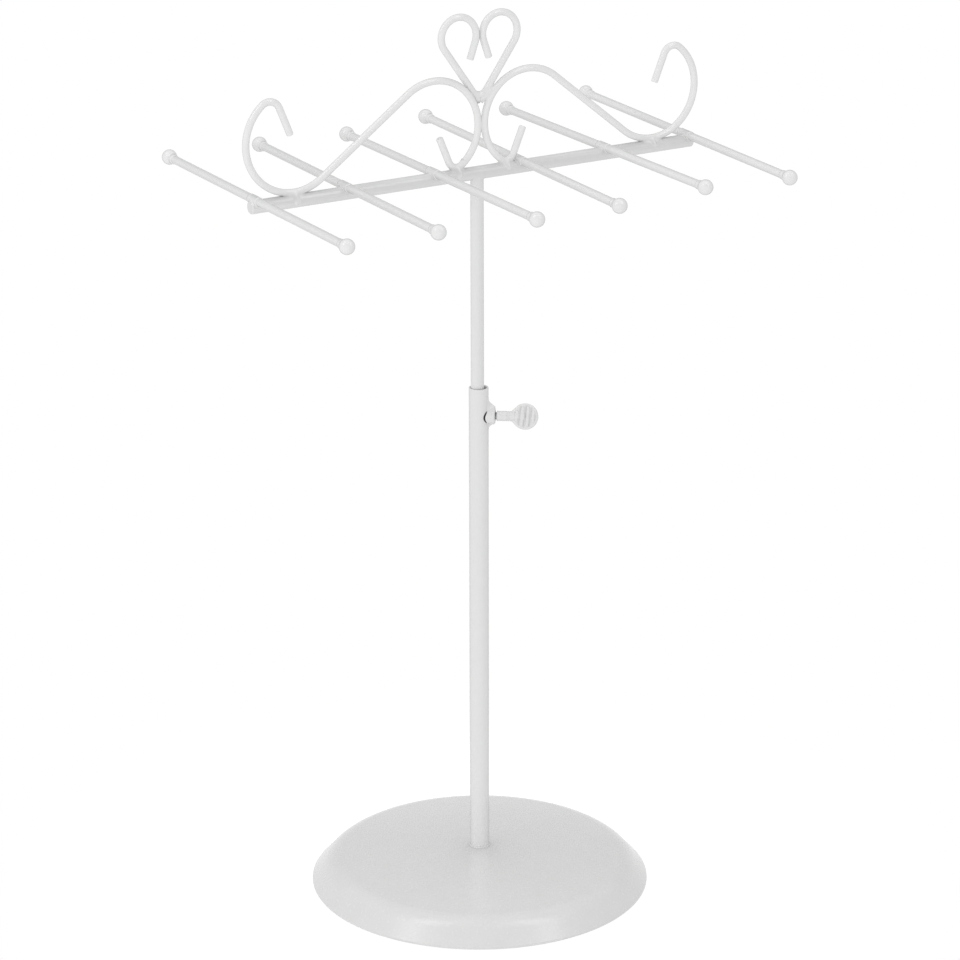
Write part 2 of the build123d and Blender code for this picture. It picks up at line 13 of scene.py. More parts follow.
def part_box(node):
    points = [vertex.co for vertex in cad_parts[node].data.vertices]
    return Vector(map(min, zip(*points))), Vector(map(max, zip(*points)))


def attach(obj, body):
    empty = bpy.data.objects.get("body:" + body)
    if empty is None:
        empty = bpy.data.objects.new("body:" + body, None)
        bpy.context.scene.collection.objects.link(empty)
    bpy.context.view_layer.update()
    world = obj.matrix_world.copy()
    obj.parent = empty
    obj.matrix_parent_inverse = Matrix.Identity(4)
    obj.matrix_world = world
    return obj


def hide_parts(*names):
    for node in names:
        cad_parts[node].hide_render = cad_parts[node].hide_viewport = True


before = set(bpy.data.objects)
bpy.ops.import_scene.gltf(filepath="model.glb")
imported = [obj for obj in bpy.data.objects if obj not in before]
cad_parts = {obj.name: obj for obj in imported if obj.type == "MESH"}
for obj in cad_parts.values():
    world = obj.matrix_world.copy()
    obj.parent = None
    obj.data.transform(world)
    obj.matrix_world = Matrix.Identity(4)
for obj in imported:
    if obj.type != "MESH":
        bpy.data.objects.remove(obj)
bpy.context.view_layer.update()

MM = 0.001
X_AXIS = Vector((1, 0, 0))
Y_AXIS = Vector((0, 1, 0))
Z_AXIS = Vector((0, 0, 1))

# Camera, at the photographed view
VIEW_AZIMUTH = radians(-30.084)
VIEW_ELEVATION = radians(19.589)
VIEW_ROLL = radians(-0.116)
VIEW_DISTANCE = 2.4059
VIEW_HEIGHT = 0.2642
VIEW_SIDE_STEP = 0.69 * MM
LENS_MM = 149.0
SENSOR_MM = 36.0

# Bends of the scrolls and the heart, as the wires were bent
WIRE_R = 2.1 * MM
TWIN_GAP = 0.1 * MM
ORNAMENT_SHIFT = 3.0 * MM
HOOK_R = 30.3 * MM
HOOK_INSET = 28.5 * MM
ARCH_R = 29.5 * MM
ARCH_RISE = 53.75 * MM
CURL_R = 5.6 * MM
CURL_OUT = 16.71 * MM
HEART_LEG = radians(55.09)
HEART_SET_BACK = 2.0 * MM

# Chamfered ends of the crossbar
BAR_EDGE = 0.6 * MM

# Clamp on the lower tube
SCREW_ANGLE = radians(-35.0)
BOSS_REACH = 10.0 * MM
BOSS_EDGE = 0.6 * MM
BOSS_BORE_CLEAR = 2.9 * MM
TUBE_BORE_CLEAR = 5.05 * MM

# Paddle of the thumb screw
PADDLE_OUT = 28.02 * MM
PADDLE_R = 7.9 * MM
PADDLE_TILT = radians(20.0)
RIB_PITCH = 3.3 * MM
RIB_LEAN = radians(7.0)
RIB_MARGIN = 0.9 * MM

# Finishes
WIRE_NODES = ("rod_", "ball_", "left_scroll", "right_scroll", "heart", "scroll_welds", "heart_welds")
SPECKS_PER_SWEEP = 4.0
# Painted edge shade: where on the turn of the surface it starts and where it is full
EDGE_SHADE_START = 0.4
EDGE_SHADE_END = 0.95
# Painted shade on the tube under the boss, for the crevice beside it: its level and the width of its fade
CREVICE_SHADE = 0.05
CREVICE_SHADE_FADE = 0.25 * MM
# Painted shade in the valleys of the paddle's ribs: its level, and where on the rib wave it starts
RIB_VALLEY_SHADE = 0.66
RIB_SHADE_START = -0.2

# Weld fillets
WELD_SINK = 0.02 * MM
WELD_WOBBLE = 0.12
WELD_WAVES = (900.0, 1300.0, 700.0)
WELD_WAVE_SHIFT = 500.0
WELD_NARROWING = 2.0
WELD_DETAIL = 5
BALL_WELD_DETAIL = 4
RAY_STEPS = 60
RAY_HALVINGS = 12
NO_LENGTH = 1e-12
NO_SPREAD = 1e-7
ROD_WELD = {"spread": 1.1 * MM, "reach": 6.0 * MM}
FOOT_WELD = {"spread": 2.6 * MM, "reach": 7.5 * MM}
LEG_WELD = {"spread": 2.4 * MM, "reach": 7.5 * MM}
ARCH_WELD = {"spread": 2.2 * MM, "reach": 9.0 * MM}
POLE_WELD = {"spread": 1.9 * MM, "reach": 9.0 * MM}
UPPER_CLAMP_WELD = {"spread": 9.0 * MM, "reach": 9.2 * MM}
LOWER_CLAMP_WELD = {"spread": 5.5 * MM, "reach": 6.5 * MM}
BALL_WELD = {"spread": 1.1 * MM, "reach": 4.2 * MM}
FOOT_JOINT_SINK = 0.5 * MM
DROP_START = Vector((0, -1.9 * MM, 0.4 * MM))
LEFT_HOOK_DROP = {"radius": 1.25 * MM, "fall": 3.6 * MM}
LEFT_CURL_DROP = {"radius": 1.5 * MM, "fall": 2.6 * MM}
RIGHT_CURL_DROP = {"radius": 0.9 * MM, "fall": 1.6 * MM}
RIGHT_HOOK_DROP = {"radius": 0.7 * MM, "fall": 1.4 * MM}
DROP_SIDE = 0.4 * MM
DROP_FRONT = 3.5 * MM
POLE_TOP_BELOW = 2.0 * MM
POLE_LOW_BELOW = 30.0 * MM
CLAMP_JOINT_OUT = 0.2 * MM
CLAMP_JOINT_SINK = 0.6 * MM
CLAMP_WELD_HALF = 3.2 * MM
BALL_JOINT_SHARE = 0.85

# Lamps: name, turn from the camera's side, elevation, distance, width, height and level
LAMP_TARGET = 0.25
FILL_LAMPS = [
    ("front_fill", -6, 4, 4.5, 2.3, 0.5, 9.0),
    ("left_fill", -50, 8, 3.0, 1.2, 0.6, 3.8),
    ("right_fill", 50, 8, 3.0, 1.2, 0.6, 0.4),
    ("top_fill", 180, 78, 4.0, 2.5, 2.5, 1.5),
]
SOFTBOXES = [
    ("left_softbox", -59, 52, 1.1, 0.28, 0.7, 2.8),
    ("right_softbox", 59, 52, 1.1, 0.28, 0.7, 2.6),
]

# Sky as light on the stand, and as it is seen
SKY_TURN = 0.5
SKY_LOW_FRONT = 0.58
SKY_LOW_BACK = 0.75
SKY_HIGH_FRONT = 0.66
SKY_HIGH_BACK = 0.95
SEEN_LOW = 1.0
SEEN_HIGH = 0.3

# Floor
FLOOR_PAPER = 0.25
FLOOR_GLOW = 0.52
FLOOR_LIFT = 0.34
FLOOR_WHITE = 1.0
FLOOR_R = 8.0
FLOOR_SIDES = 96
FLOOR_SHADE_R = 0.16
FLOOR_WHITE_R = 0.30


def middle(node):
    """Centre of a CAD node's box."""
    low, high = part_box(node)
    return (low + high) / 2


def half_size(node):
    """Half of each side of a CAD node's box."""
    low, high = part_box(node)
    return (high - low) / 2


bar_middle = middle("crossbar")
bar_r = half_size("crossbar").z
bar_top = bar_middle.z + bar_r
rod_names = [f"rod_{number}" for number in range(1, 7)]
rod_r = half_size("rod_1").z
ball_r = half_size("ball_1_front").x
pole_r = half_size("upper_tube").x
foot_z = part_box("left_scroll")[0].z + WIRE_R
arch_x = ARCH_R + WIRE_R + TWIN_GAP / 2
ornament_x = bar_middle.x + ORNAMENT_SHIFT
arch_z = foot_z + ARCH_RISE - ARCH_R
hook_x = half_size("crossbar").x - HOOK_INSET
lower_r = half_size("lower_tube").x
boss_r = half_size("clamp_boss").z
screw_z = middle("clamp_boss").z
screw_dir = Vector((cos(SCREW_ANGLE), sin(SCREW_ANGLE), 0))
screw_side = Z_AXIS.cross(screw_dir)


# Skins: each gives the distance from points to the surface of one round piece

def straight_skin(centre, along, radius, half_length=1.0):
    """Skin of a straight bar, rod or tube, with flat ends."""
    centre = np.array(centre)
    along = np.array(along.normalized())

    def distance(points):
        off = points - centre
        run = off @ along
        side = np.linalg.norm(off - np.outer(run, along), axis=1) - radius
        return np.maximum(side, np.abs(run) - half_length)

    return distance


def bent_skin(centre, bend_r, radius):
    """Skin of a wire bent round a centre, in the upright plane of the ornament."""
    centre = np.array(centre)

    def distance(points):
        off = points - centre
        return np.hypot(np.hypot(off[:, 0], off[:, 2]) - bend_r, off[:, 1]) - radius

    return distance


def drop_skin(start, end, radius):
    """Skin of a round-ended drop, or of a ball where start and end are the same point."""
    start = np.array(start)
    run = np.array(end) - start
    length_squared = max(float(run @ run), NO_LENGTH)

    def distance(points):
        off = points - start
        share = np.clip(off @ run / length_squared, 0, 1)
        return np.linalg.norm(off - np.outer(share, run), axis=1) - radius

    return distance


def beside_skin(centre, across, half_width):
    """Skin of the space to both sides of a strip of a given width."""
    centre = np.array(centre)
    across = np.array(across)

    def distance(points):
        return half_width - np.abs((points - centre) @ across)

    return distance


def flow_together(first, second, spread):
    """Distance to two skins that run into each other over a spread."""
    overlap = np.clip(spread - np.abs(first - second), 0, None)
    return np.minimum(first, second) - overlap**2 / (4 * np.maximum(spread, NO_SPREAD))


def weld_distance(points, centre, skins, spread, reach, narrow, hollows):
    """Distance to the skins as the weld joins them: widest at the centre, gone at its reach."""
    off = points - centre
    if narrow is not None:
        across = np.array(narrow)
        off = off + WELD_NARROWING * np.outer(off @ across, across)
    fade = np.clip(1 - np.sum(off**2, axis=1) / reach**2, 0, 1)
    wave = np.sin(points @ np.array(WELD_WAVES) + centre[0] * WELD_WAVE_SHIFT)
    local_spread = spread * fade * (1 + WELD_WOBBLE * wave)
    total = skins[0](points)
    for skin in skins[1:]:
        total = flow_together(total, skin(points), local_spread)
    total = total + WELD_SINK
    for hollow in hollows:
        total = np.maximum(total, -hollow(points))
    return total


def add_weld(mesh, centre, skins, spread, reach, detail=WELD_DETAIL, narrow=None, hollows=()):
    """Adds one closed weld to a bmesh: rays from inside the joint end on the joined skins."""
    made = bmesh.ops.create_icosphere(mesh, subdivisions=detail, radius=1.0)
    corners = made["verts"]
    rays = np.array([corner.co.normalized() for corner in corners])
    centre = np.array(centre)

    def outside(lengths):
        points = centre + rays * lengths[:, None]
        return weld_distance(points, centre, skins, spread, reach, narrow, hollows) > 0

    inner = np.zeros(len(rays))
    outer = np.full(len(rays), reach)
    found = np.zeros(len(rays), bool)
    for step in range(1, RAY_STEPS + 1):
        lengths = np.full(len(rays), reach * step / RAY_STEPS)
        crossed = outside(lengths) & ~found
        outer[crossed] = lengths[crossed]
        found |= crossed
        inner[~found] = lengths[~found]
    for _ in range(RAY_HALVINGS):
        between = (inner + outer) / 2
        beyond = outside(between)
        outer = np.where(found & beyond, between, outer)
        inner = np.where(found & ~beyond, between, inner)
    for corner, ray, length in zip(corners, rays, outer):
        corner.co = centre + ray * length


def finish_welds(name, mesh, body, material, node=None):
    """Turns a bmesh of welds into a piece that rides on a body, and stands for a CAD node."""
    data = bpy.data.meshes.new(name)
    for face in mesh.faces:
        face.smooth = True
    mesh.to_mesh(data)
    mesh.free()
    data.materials.append(material)
    piece = bpy.data.objects.new(name, data)
    bpy.context.scene.collection.objects.link(piece)
    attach(piece, body)
    if node:
        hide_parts(node)


# Node helpers

def feed(tree, socket, value):
    """Links an output to an input, or sets the input to a plain value."""
    if isinstance(value, bpy.types.NodeSocket):
        tree.links.new(value, socket)
    else:
        socket.default_value = value


def put(tree, kind, **values):
    """Adds a node and feeds its inputs by name, with _ for a space."""
    node = tree.nodes.new(kind)
    for name, value in values.items():
        feed(tree, node.inputs[name.replace("_", " ")], value)
    return node


def put_in_order(tree, kind, values, operation=None):
    """Adds a node and feeds its inputs in their order."""
    node = tree.nodes.new(kind)
    if operation:
        node.operation = operation
    for socket, value in zip(node.inputs, values):
        feed(tree, socket, value)
    return node


def maths(tree, operation, *values):
    """Math node on outputs or numbers."""
    return put_in_order(tree, "ShaderNodeMath", values, operation).outputs["Value"]


def vector_maths(tree, operation, *values):
    """Vector math node; gives a number or a vector, as the operation does."""
    node = put_in_order(tree, "ShaderNodeVectorMath", values, operation)
    return node.outputs["Value" if operation in ("DOT_PRODUCT", "LENGTH") else "Vector"]


def map_range(tree, value, smooth=False, **limits):
    """Takes a value from one range to another."""
    node = put(tree, "ShaderNodeMapRange", Value=value, **limits)
    if smooth:
        node.interpolation_type = "SMOOTHSTEP"
    return node.outputs["Result"]


def mix_colours(tree, share, first, second, blend="MIX"):
    """Mixes two colours by a share."""
    node = tree.nodes.new("ShaderNodeMix")
    node.data_type = "RGBA"
    node.blend_type = blend
    for label, value in (("Factor", share), ("A", first), ("B", second)):
        feed(tree, node.inputs[label], value)
    return node.outputs["Result"]


def add_shaders(tree, *shaders):
    """Adds two shaders up."""
    return put_in_order(tree, "ShaderNodeAddShader", shaders).outputs["Shader"]


def mix_shaders(tree, share, first, second):
    """Mixes two shaders by a share."""
    return put_in_order(tree, "ShaderNodeMixShader", (share, first, second)).outputs["Shader"]


def object_place(tree):
    """Place on the piece itself."""
    return tree.nodes.new("ShaderNodeTexCoord").outputs["Object"]


def noise(tree, place, scale, **values):
    """Noise at a place."""
    return put(tree, "ShaderNodeTexNoise", Vector=place, Scale=scale, **values).outputs["Fac"]


def grey(level):
    """Neutral colour of one level."""
    return (level, level, level, 1)


def new_group(name, inputs):
    """Shader node group that puts out a skin; gives its tree and its input node."""
    tree = bpy.data.node_groups.new(name, "ShaderNodeTree")
    for label, kind, value in inputs:
        socket = tree.interface.new_socket(label, in_out="INPUT", socket_type=kind)
        socket.default_value = value
    for label, kind in SKIN_OUTPUTS:
        tree.interface.new_socket(label, in_out="OUTPUT", socket_type=kind)
    return tree, tree.nodes.new("NodeGroupInput")


FLOAT = "NodeSocketFloat"
COLOUR = "NodeSocketColor"
SKIN_OUTPUTS = [("Colour", COLOUR), ("Roughness", FLOAT), ("Height", FLOAT)]


def make_coat_skin():
    """Powder coat: fine orange peel over a slow unevenness, with a little drift in tone and gloss."""
    tree, given = new_group("coat_skin", [
        ("Colour", COLOUR, grey(0.8)),
        ("Shade", COLOUR, grey(0.75)),
        ("Gloss Roughness", FLOAT, 0.3),
        ("Peel Size", FLOAT, 1.0 * MM),
        ("Peel Depth", FLOAT, 0.004 * MM),
        ("Sweep Size", FLOAT, 30 * MM),
        ("Sweep Depth", FLOAT, 0.02 * MM),
    ])
    place = object_place(tree)
    per_peel = maths(tree, "DIVIDE", 1.0, given.outputs["Peel Size"])
    per_sweep = maths(tree, "DIVIDE", 1.0, given.outputs["Sweep Size"])
    per_speck = maths(tree, "MULTIPLY", per_sweep, SPECKS_PER_SWEEP)
    peel = noise(tree, place, per_peel, Detail=1.0, Roughness=0.4)
    sweep = noise(tree, place, per_sweep, Detail=1.0, Roughness=0.4)
    speck = noise(tree, place, per_speck, Detail=3.0, Roughness=0.6)
    drift = map_range(tree, speck, From_Min=0.35, From_Max=0.7)
    gloss = map_range(tree, peel, From_Min=0.3, From_Max=0.7, To_Min=-0.04, To_Max=0.05)
    fine = maths(tree, "MULTIPLY", peel, given.outputs["Peel Depth"])
    slow = maths(tree, "MULTIPLY", sweep, given.outputs["Sweep Depth"])
    put(tree, "NodeGroupOutput",
        Colour=mix_colours(tree, drift, given.outputs["Colour"], given.outputs["Shade"]),
        Roughness=maths(tree, "ADD", given.outputs["Gloss Roughness"], gloss),
        Height=maths(tree, "ADD", fine, slow))
    return tree


def make_grain_skin():
    """Grain of plated, cast, moulded and foamed pieces: two tones, roughness and relief."""
    tree, given = new_group("grain_skin", [
        ("Light", COLOUR, grey(0.6)),
        ("Dark", COLOUR, grey(0.5)),
        ("Smoothest", FLOAT, 0.3),
        ("Roughest", FLOAT, 0.5),
        ("Grain Size", FLOAT, 0.5 * MM),
        ("Grain Depth", FLOAT, 0.01 * MM),
        ("Pits", FLOAT, 0.0),
    ])
    place = object_place(tree)
    per_grain = maths(tree, "DIVIDE", 1.0, given.outputs["Grain Size"])
    grain = noise(tree, place, per_grain, Detail=5.0, Roughness=0.6)
    cells = put(tree, "ShaderNodeTexVoronoi", Vector=place, Scale=per_grain)
    pits = maths(tree, "MULTIPLY", cells.outputs["Distance"], given.outputs["Pits"])
    relief = maths(tree, "ADD", grain, pits)
    put(tree, "NodeGroupOutput",
        Colour=mix_colours(tree, relief, given.outputs["Light"], given.outputs["Dark"]),
        Roughness=map_range(
            tree, relief, To_Min=given.outputs["Smoothest"], To_Max=given.outputs["Roughest"]),
        Height=maths(tree, "MULTIPLY", relief, given.outputs["Grain Depth"]))
    return tree


coat_skin = make_coat_skin()
grain_skin = make_grain_skin()


def add_painted_edge_shade(tree, colour, painted_edge_shade):
    """Painted shade: darkens a colour where the surface turns away, giving round stock dark outlines."""
    facing = put(tree, "ShaderNodeLayerWeight", Blend=0.5).outputs["Facing"]
    tone = map_range(tree, facing, From_Min=EDGE_SHADE_START, From_Max=EDGE_SHADE_END, To_Min=1.0, To_Max=painted_edge_shade)
    return mix_colours(tree, 1.0, colour, tone, "MULTIPLY")


def skin_material(name, group, metallic=0.0, painted_edge_shade=1.0, **values):
    """Material whose colour, roughness and relief come from a skin group, with its own values."""
    material = bpy.data.materials.new(name)
    material.use_nodes = True
    tree = material.node_tree
    skin = tree.nodes.new("ShaderNodeGroup")
    skin.node_tree = group
    for label, value in values.items():
        feed(tree, skin.inputs[label.replace("_", " ")], value)
    colour = skin.outputs["Colour"]
    # Painted shade towards the outline, where the edge value is below 1
    if painted_edge_shade < 1:
        colour = add_painted_edge_shade(tree, colour, painted_edge_shade)
    bump = put(tree, "ShaderNodeBump", Strength=1.0, Distance=1.0, Height=skin.outputs["Height"])
    shader = tree.nodes["Principled BSDF"]
    feed(tree, shader.inputs["Base Color"], colour)
    feed(tree, shader.inputs["Metallic"], metallic)
    feed(tree, shader.inputs["Roughness"], skin.outputs["Roughness"])
    feed(tree, shader.inputs["Normal"], bump.outputs["Normal"])
    return material


def make_materials():
    """Finish of each kind of piece; the wire coat is painted lighter and the dome coat darker than the pole
    coat, as painted light and shade on one white coat.
    """
    return {
        # The edge value of each coat darkens its outline as painted shade.
        "pole_coat": skin_material(
            "pole_coat", coat_skin, painted_edge_shade=0.78,
            Colour=grey(0.80), Shade=grey(0.785), Gloss_Roughness=0.22,
            Peel_Size=1.8 * MM, Peel_Depth=0.003 * MM, Sweep_Size=22 * MM, Sweep_Depth=0.03 * MM),
        # Wire coat: the pole's white painted lighter, as painted light.
        "lit_wire_coat": skin_material(
            "lit_wire_coat", coat_skin, painted_edge_shade=0.62,
            Colour=grey(0.86), Shade=grey(0.845), Gloss_Roughness=0.2,
            Peel_Size=1.8 * MM, Peel_Depth=0.003 * MM, Sweep_Size=22 * MM, Sweep_Depth=0.03 * MM),
        # Dome coat: the pole's white painted darker, as painted shade.
        "shaded_dome_coat": skin_material(
            "shaded_dome_coat", coat_skin, painted_edge_shade=0.9,
            Colour=grey(0.755), Shade=grey(0.74), Gloss_Roughness=0.24,
            Peel_Size=2.2 * MM, Peel_Depth=0.002 * MM, Sweep_Size=45 * MM, Sweep_Depth=0.12 * MM),
        "screw_coat": skin_material(
            "screw_coat", coat_skin, painted_edge_shade=0.8,
            Colour=grey(0.80), Shade=grey(0.785), Gloss_Roughness=0.34,
            Peel_Size=0.9 * MM, Peel_Depth=0.002 * MM, Sweep_Size=8 * MM, Sweep_Depth=0.01 * MM),
        "zinc_plate": skin_material(
            "zinc_plate", grain_skin, metallic=1.0,
            Light=(0.66, 0.67, 0.68, 1), Dark=(0.56, 0.57, 0.60, 1),
            Smoothest=0.24, Roughest=0.5, Grain_Size=0.8 * MM, Grain_Depth=0.006 * MM),
        "cast_iron": skin_material(
            "cast_iron", grain_skin, Light=grey(0.045), Dark=grey(0.022),
            Smoothest=0.5, Roughest=0.85, Grain_Size=1.6 * MM, Grain_Depth=0.25 * MM, Pits=0.3),
        "pad_foam": skin_material(
            "pad_foam", grain_skin, Light=grey(0.05), Dark=grey(0.02),
            Smoothest=0.8, Roughest=0.95, Grain_Size=0.7 * MM, Grain_Depth=0.12 * MM, Pits=0.8),
        "guide_nylon": skin_material(
            "guide_nylon", grain_skin, Light=grey(0.06), Dark=grey(0.045),
            Smoothest=0.42, Roughest=0.6, Grain_Size=0.4 * MM, Grain_Depth=0.008 * MM),
    }


def tint(material, mask, level):
    """Mixes a plain grey into a material's colour by a mask."""
    tree = material.node_tree
    base = tree.nodes["Principled BSDF"].inputs["Base Color"]
    feed(tree, base, mix_colours(tree, mask, base.links[0].from_socket, grey(level)))


def make_tube_coat():
    """Pole coat with painted shade: the tube is painted dark under the boss, for a shadow line in the
    crevice beside it.
    """
    material = finishes["pole_coat"].copy()
    material.name = "tube_coat"
    tree = material.node_tree
    off = vector_maths(tree, "SUBTRACT", object_place(tree), Z_AXIS * screw_z)
    from_axis = vector_maths(tree, "LENGTH", vector_maths(tree, "CROSS_PRODUCT", off, screw_dir))
    behind = map_range(
        tree, from_axis, From_Min=boss_r - CREVICE_SHADE_FADE, From_Max=boss_r, To_Min=1.0, To_Max=0.0)
    screw_half = maths(tree, "GREATER_THAN", vector_maths(tree, "DOT_PRODUCT", off, screw_dir), 0.0)
    # Painted shade: dark under the boss, fading out at the boss's edge
    tint(material, maths(tree, "MULTIPLY", behind, screw_half), CREVICE_SHADE)
    return material


def shade_paddle(material):
    """Painted shade: darkens the valleys between the ribs of the thumb screw's paddle."""
    tree = material.node_tree
    face = -screw_side * cos(PADDLE_TILT) + Z_AXIS * sin(PADDLE_TILT)
    upright = face.cross(screw_dir)
    across_ribs = screw_dir * cos(RIB_LEAN) - upright * sin(RIB_LEAN)
    ribs_apart = RIB_PITCH * cos(RIB_LEAN)
    off = vector_maths(
        tree, "SUBTRACT", object_place(tree), screw_dir * PADDLE_OUT + Z_AXIS * screw_z)
    wave = maths(tree, "COSINE", vector_maths(tree, "DOT_PRODUCT", off, across_ribs * (2 * pi / ribs_apart)))
    valley = map_range(tree, wave, From_Min=RIB_SHADE_START, From_Max=1.0)
    on_paddle = maths(tree, "LESS_THAN", vector_maths(tree, "LENGTH", off), PADDLE_R - RIB_MARGIN)
    tint(material, maths(tree, "MULTIPLY", valley, on_paddle), RIB_VALLEY_SHADE)


finishes = make_materials()
finishes["tube_coat"] = make_tube_coat()
shade_paddle(finishes["screw_coat"])
special_finishes = {
    "base_dome": "shaded_dome_coat",
    "screw_head": "screw_coat",
    "lower_tube": "tube_coat",
    "base_pad": "pad_foam",
    "base_weight": "cast_iron",
    "end_plug": "guide_nylon",
    "screw_tip": "guide_nylon",
    "base_washer": "zinc_plate",
    "spring_washer": "zinc_plate",
    "base_bolt": "zinc_plate",
    "foot_plug": "zinc_plate",
    "screw_stud": "zinc_plate",
}
for node_name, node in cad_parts.items():
    node.data.materials.clear()
    plain_finish = "lit_wire_coat" if node_name.startswith(WIRE_NODES) else "pole_coat"
    node.data.materials.append(finishes[special_finishes.get(node_name, plain_finish)])


# Welds

def bar_skin():
    """Skin of the crossbar."""
    return straight_skin(bar_middle, X_AXIS, bar_r, half_size("crossbar").x - BAR_EDGE)


def rod_line(rod_name):
    """Middles of the balls on a rod's front and back ends."""
    ends = []
    for end, side in (("front", -1), ("back", 1)):
        low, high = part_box(rod_name.replace("rod", "ball") + "_" + end)
        centre = (low + high) / 2
        centre.y = low.y + ball_r if side < 0 else high.y - ball_r
        ends.append(centre)
    return ends


def make_rod_welds():
    """Fillet round each rod where it is let into the bar."""
    mesh = bmesh.new()
    for rod_name in rod_names:
        front, back = rod_line(rod_name)
        along = back - front
        joint = front + along * ((bar_middle.y - front.y) / along.y)
        skins = [bar_skin(), straight_skin(joint, along, rod_r)]
        add_weld(mesh, joint, skins, **ROD_WELD)
    finish_welds("rod_fillets", mesh, "head", finishes["lit_wire_coat"], "rod_welds")


def make_scroll_welds():
    """Fillet at each scroll's two feet, with the drop that ran down the front of the bar."""
    mesh = bmesh.new()
    feet = [
        (bar_middle.x - hook_x, HOOK_R, LEFT_HOOK_DROP),
        (ornament_x - CURL_OUT, CURL_R, LEFT_CURL_DROP),
        (ornament_x + CURL_OUT, CURL_R, RIGHT_CURL_DROP),
        (bar_middle.x + hook_x, HOOK_R, RIGHT_HOOK_DROP),
    ]
    for foot_x, bend_r, drop in feet:
        foot = Vector((foot_x, bar_middle.y, 0))
        bend = foot + Z_AXIS * (foot_z + bend_r)
        joint = foot + Z_AXIS * (bar_top - FOOT_JOINT_SINK)
        drop_top = joint + DROP_START
        drop_end = joint + Vector((DROP_SIDE, -DROP_FRONT, -drop["fall"]))
        skins = [
            bar_skin(),
            bent_skin(bend, bend_r, WIRE_R),
            drop_skin(drop_top, drop_end, drop["radius"]),
        ]
        add_weld(mesh, joint, skins, **FOOT_WELD)
    finish_welds("scroll_fillets", mesh, "head", finishes["lit_wire_coat"], "scroll_welds")


def make_heart_welds():
    """Fillets between the two arches, and between each arch and the heart's leg on it."""
    mesh = bmesh.new()
    wires_apart = 2 * WIRE_R + TWIN_GAP
    leg_rest = (wires_apart**2 - HEART_SET_BACK**2) ** 0.5
    arch_skins = {}
    for side in (-1, 1):
        arch_centre = Vector((ornament_x + side * arch_x, bar_middle.y, arch_z))
        arch_skins[side] = bent_skin(arch_centre, ARCH_R, WIRE_R)
        away = Vector((-side * sin(HEART_LEG), 0, cos(HEART_LEG)))
        arch_axis = arch_centre + away * ARCH_R
        leg_axis = arch_axis + away * leg_rest + Y_AXIS * HEART_SET_BACK
        touch = (arch_axis + leg_axis) / 2
        leg_skin = straight_skin(leg_axis, Vector((side * cos(HEART_LEG), 0, sin(HEART_LEG))), WIRE_R)
        add_weld(mesh, touch, [arch_skins[side], leg_skin], **LEG_WELD)
    joint = Vector((ornament_x, bar_middle.y, arch_z))
    add_weld(mesh, joint, [arch_skins[-1], arch_skins[1]], **ARCH_WELD)
    finish_welds("heart_fillets", mesh, "head", finishes["lit_wire_coat"], "heart_welds")


def make_pole_weld():
    """Fillet where the upper tube meets the underside of the bar."""
    mesh = bmesh.new()
    pole_top = bar_middle - Z_AXIS * POLE_TOP_BELOW
    pole_low = bar_middle - Z_AXIS * POLE_LOW_BELOW
    skins = [bar_skin(), drop_skin(pole_top, pole_low, pole_r)]
    add_weld(mesh, bar_middle, skins, **POLE_WELD)
    finish_welds("pole_fillet", mesh, "head", finishes["pole_coat"], "pole_welds")


def make_clamp_welds():
    """Ramps of weld from the lower tube up and down to the threaded boss."""
    mesh = bmesh.new()
    tube_axis = Vector((0, 0, screw_z))
    tube_skin = straight_skin(tube_axis, Z_AXIS, lower_r)
    boss_skin = straight_skin(tube_axis, screw_dir, boss_r - WELD_SINK, BOSS_REACH - BOSS_EDGE)
    hollows = [
        straight_skin(tube_axis, Z_AXIS, TUBE_BORE_CLEAR),
        straight_skin(tube_axis, screw_dir, BOSS_BORE_CLEAR),
        beside_skin(tube_axis, screw_side, CLAMP_WELD_HALF),
    ]
    joint_out = screw_dir * (lower_r + CLAMP_JOINT_OUT)
    for side, weld in ((1, UPPER_CLAMP_WELD), (-1, LOWER_CLAMP_WELD)):
        joint = tube_axis + joint_out + Z_AXIS * side * (boss_r - CLAMP_JOINT_SINK)
        add_weld(mesh, joint, [tube_skin, boss_skin], narrow=screw_side, hollows=hollows, **weld)
    finish_welds("clamp_fillets", mesh, "stand", finishes["pole_coat"], "clamp_weld")


def make_ball_welds():
    """Thin fillet of coating where each rod enters its ball."""
    mesh = bmesh.new()
    for rod_name in rod_names:
        front, back = rod_line(rod_name)
        along = (back - front).normalized()
        rod_skin = straight_skin(front, along, rod_r)
        for ball, inwards in ((front, along), (back, -along)):
            joint = ball + inwards * ball_r * BALL_JOINT_SHARE
            skins = [rod_skin, drop_skin(ball, ball, ball_r)]
            add_weld(mesh, joint, skins, detail=BALL_WELD_DETAIL, **BALL_WELD)
    finish_welds("ball_fillets", mesh, "head", finishes["lit_wire_coat"])


make_rod_welds()
make_scroll_welds()
make_heart_welds()
make_pole_weld()
make_clamp_welds()
make_ball_welds()


# Camera, floor and light

def from_view(azimuth, elevation):
    """Direction towards a viewer; azimuth 0 looks along +Y."""
    return Vector((sin(azimuth) * cos(elevation), -cos(azimuth) * cos(elevation), sin(elevation)))


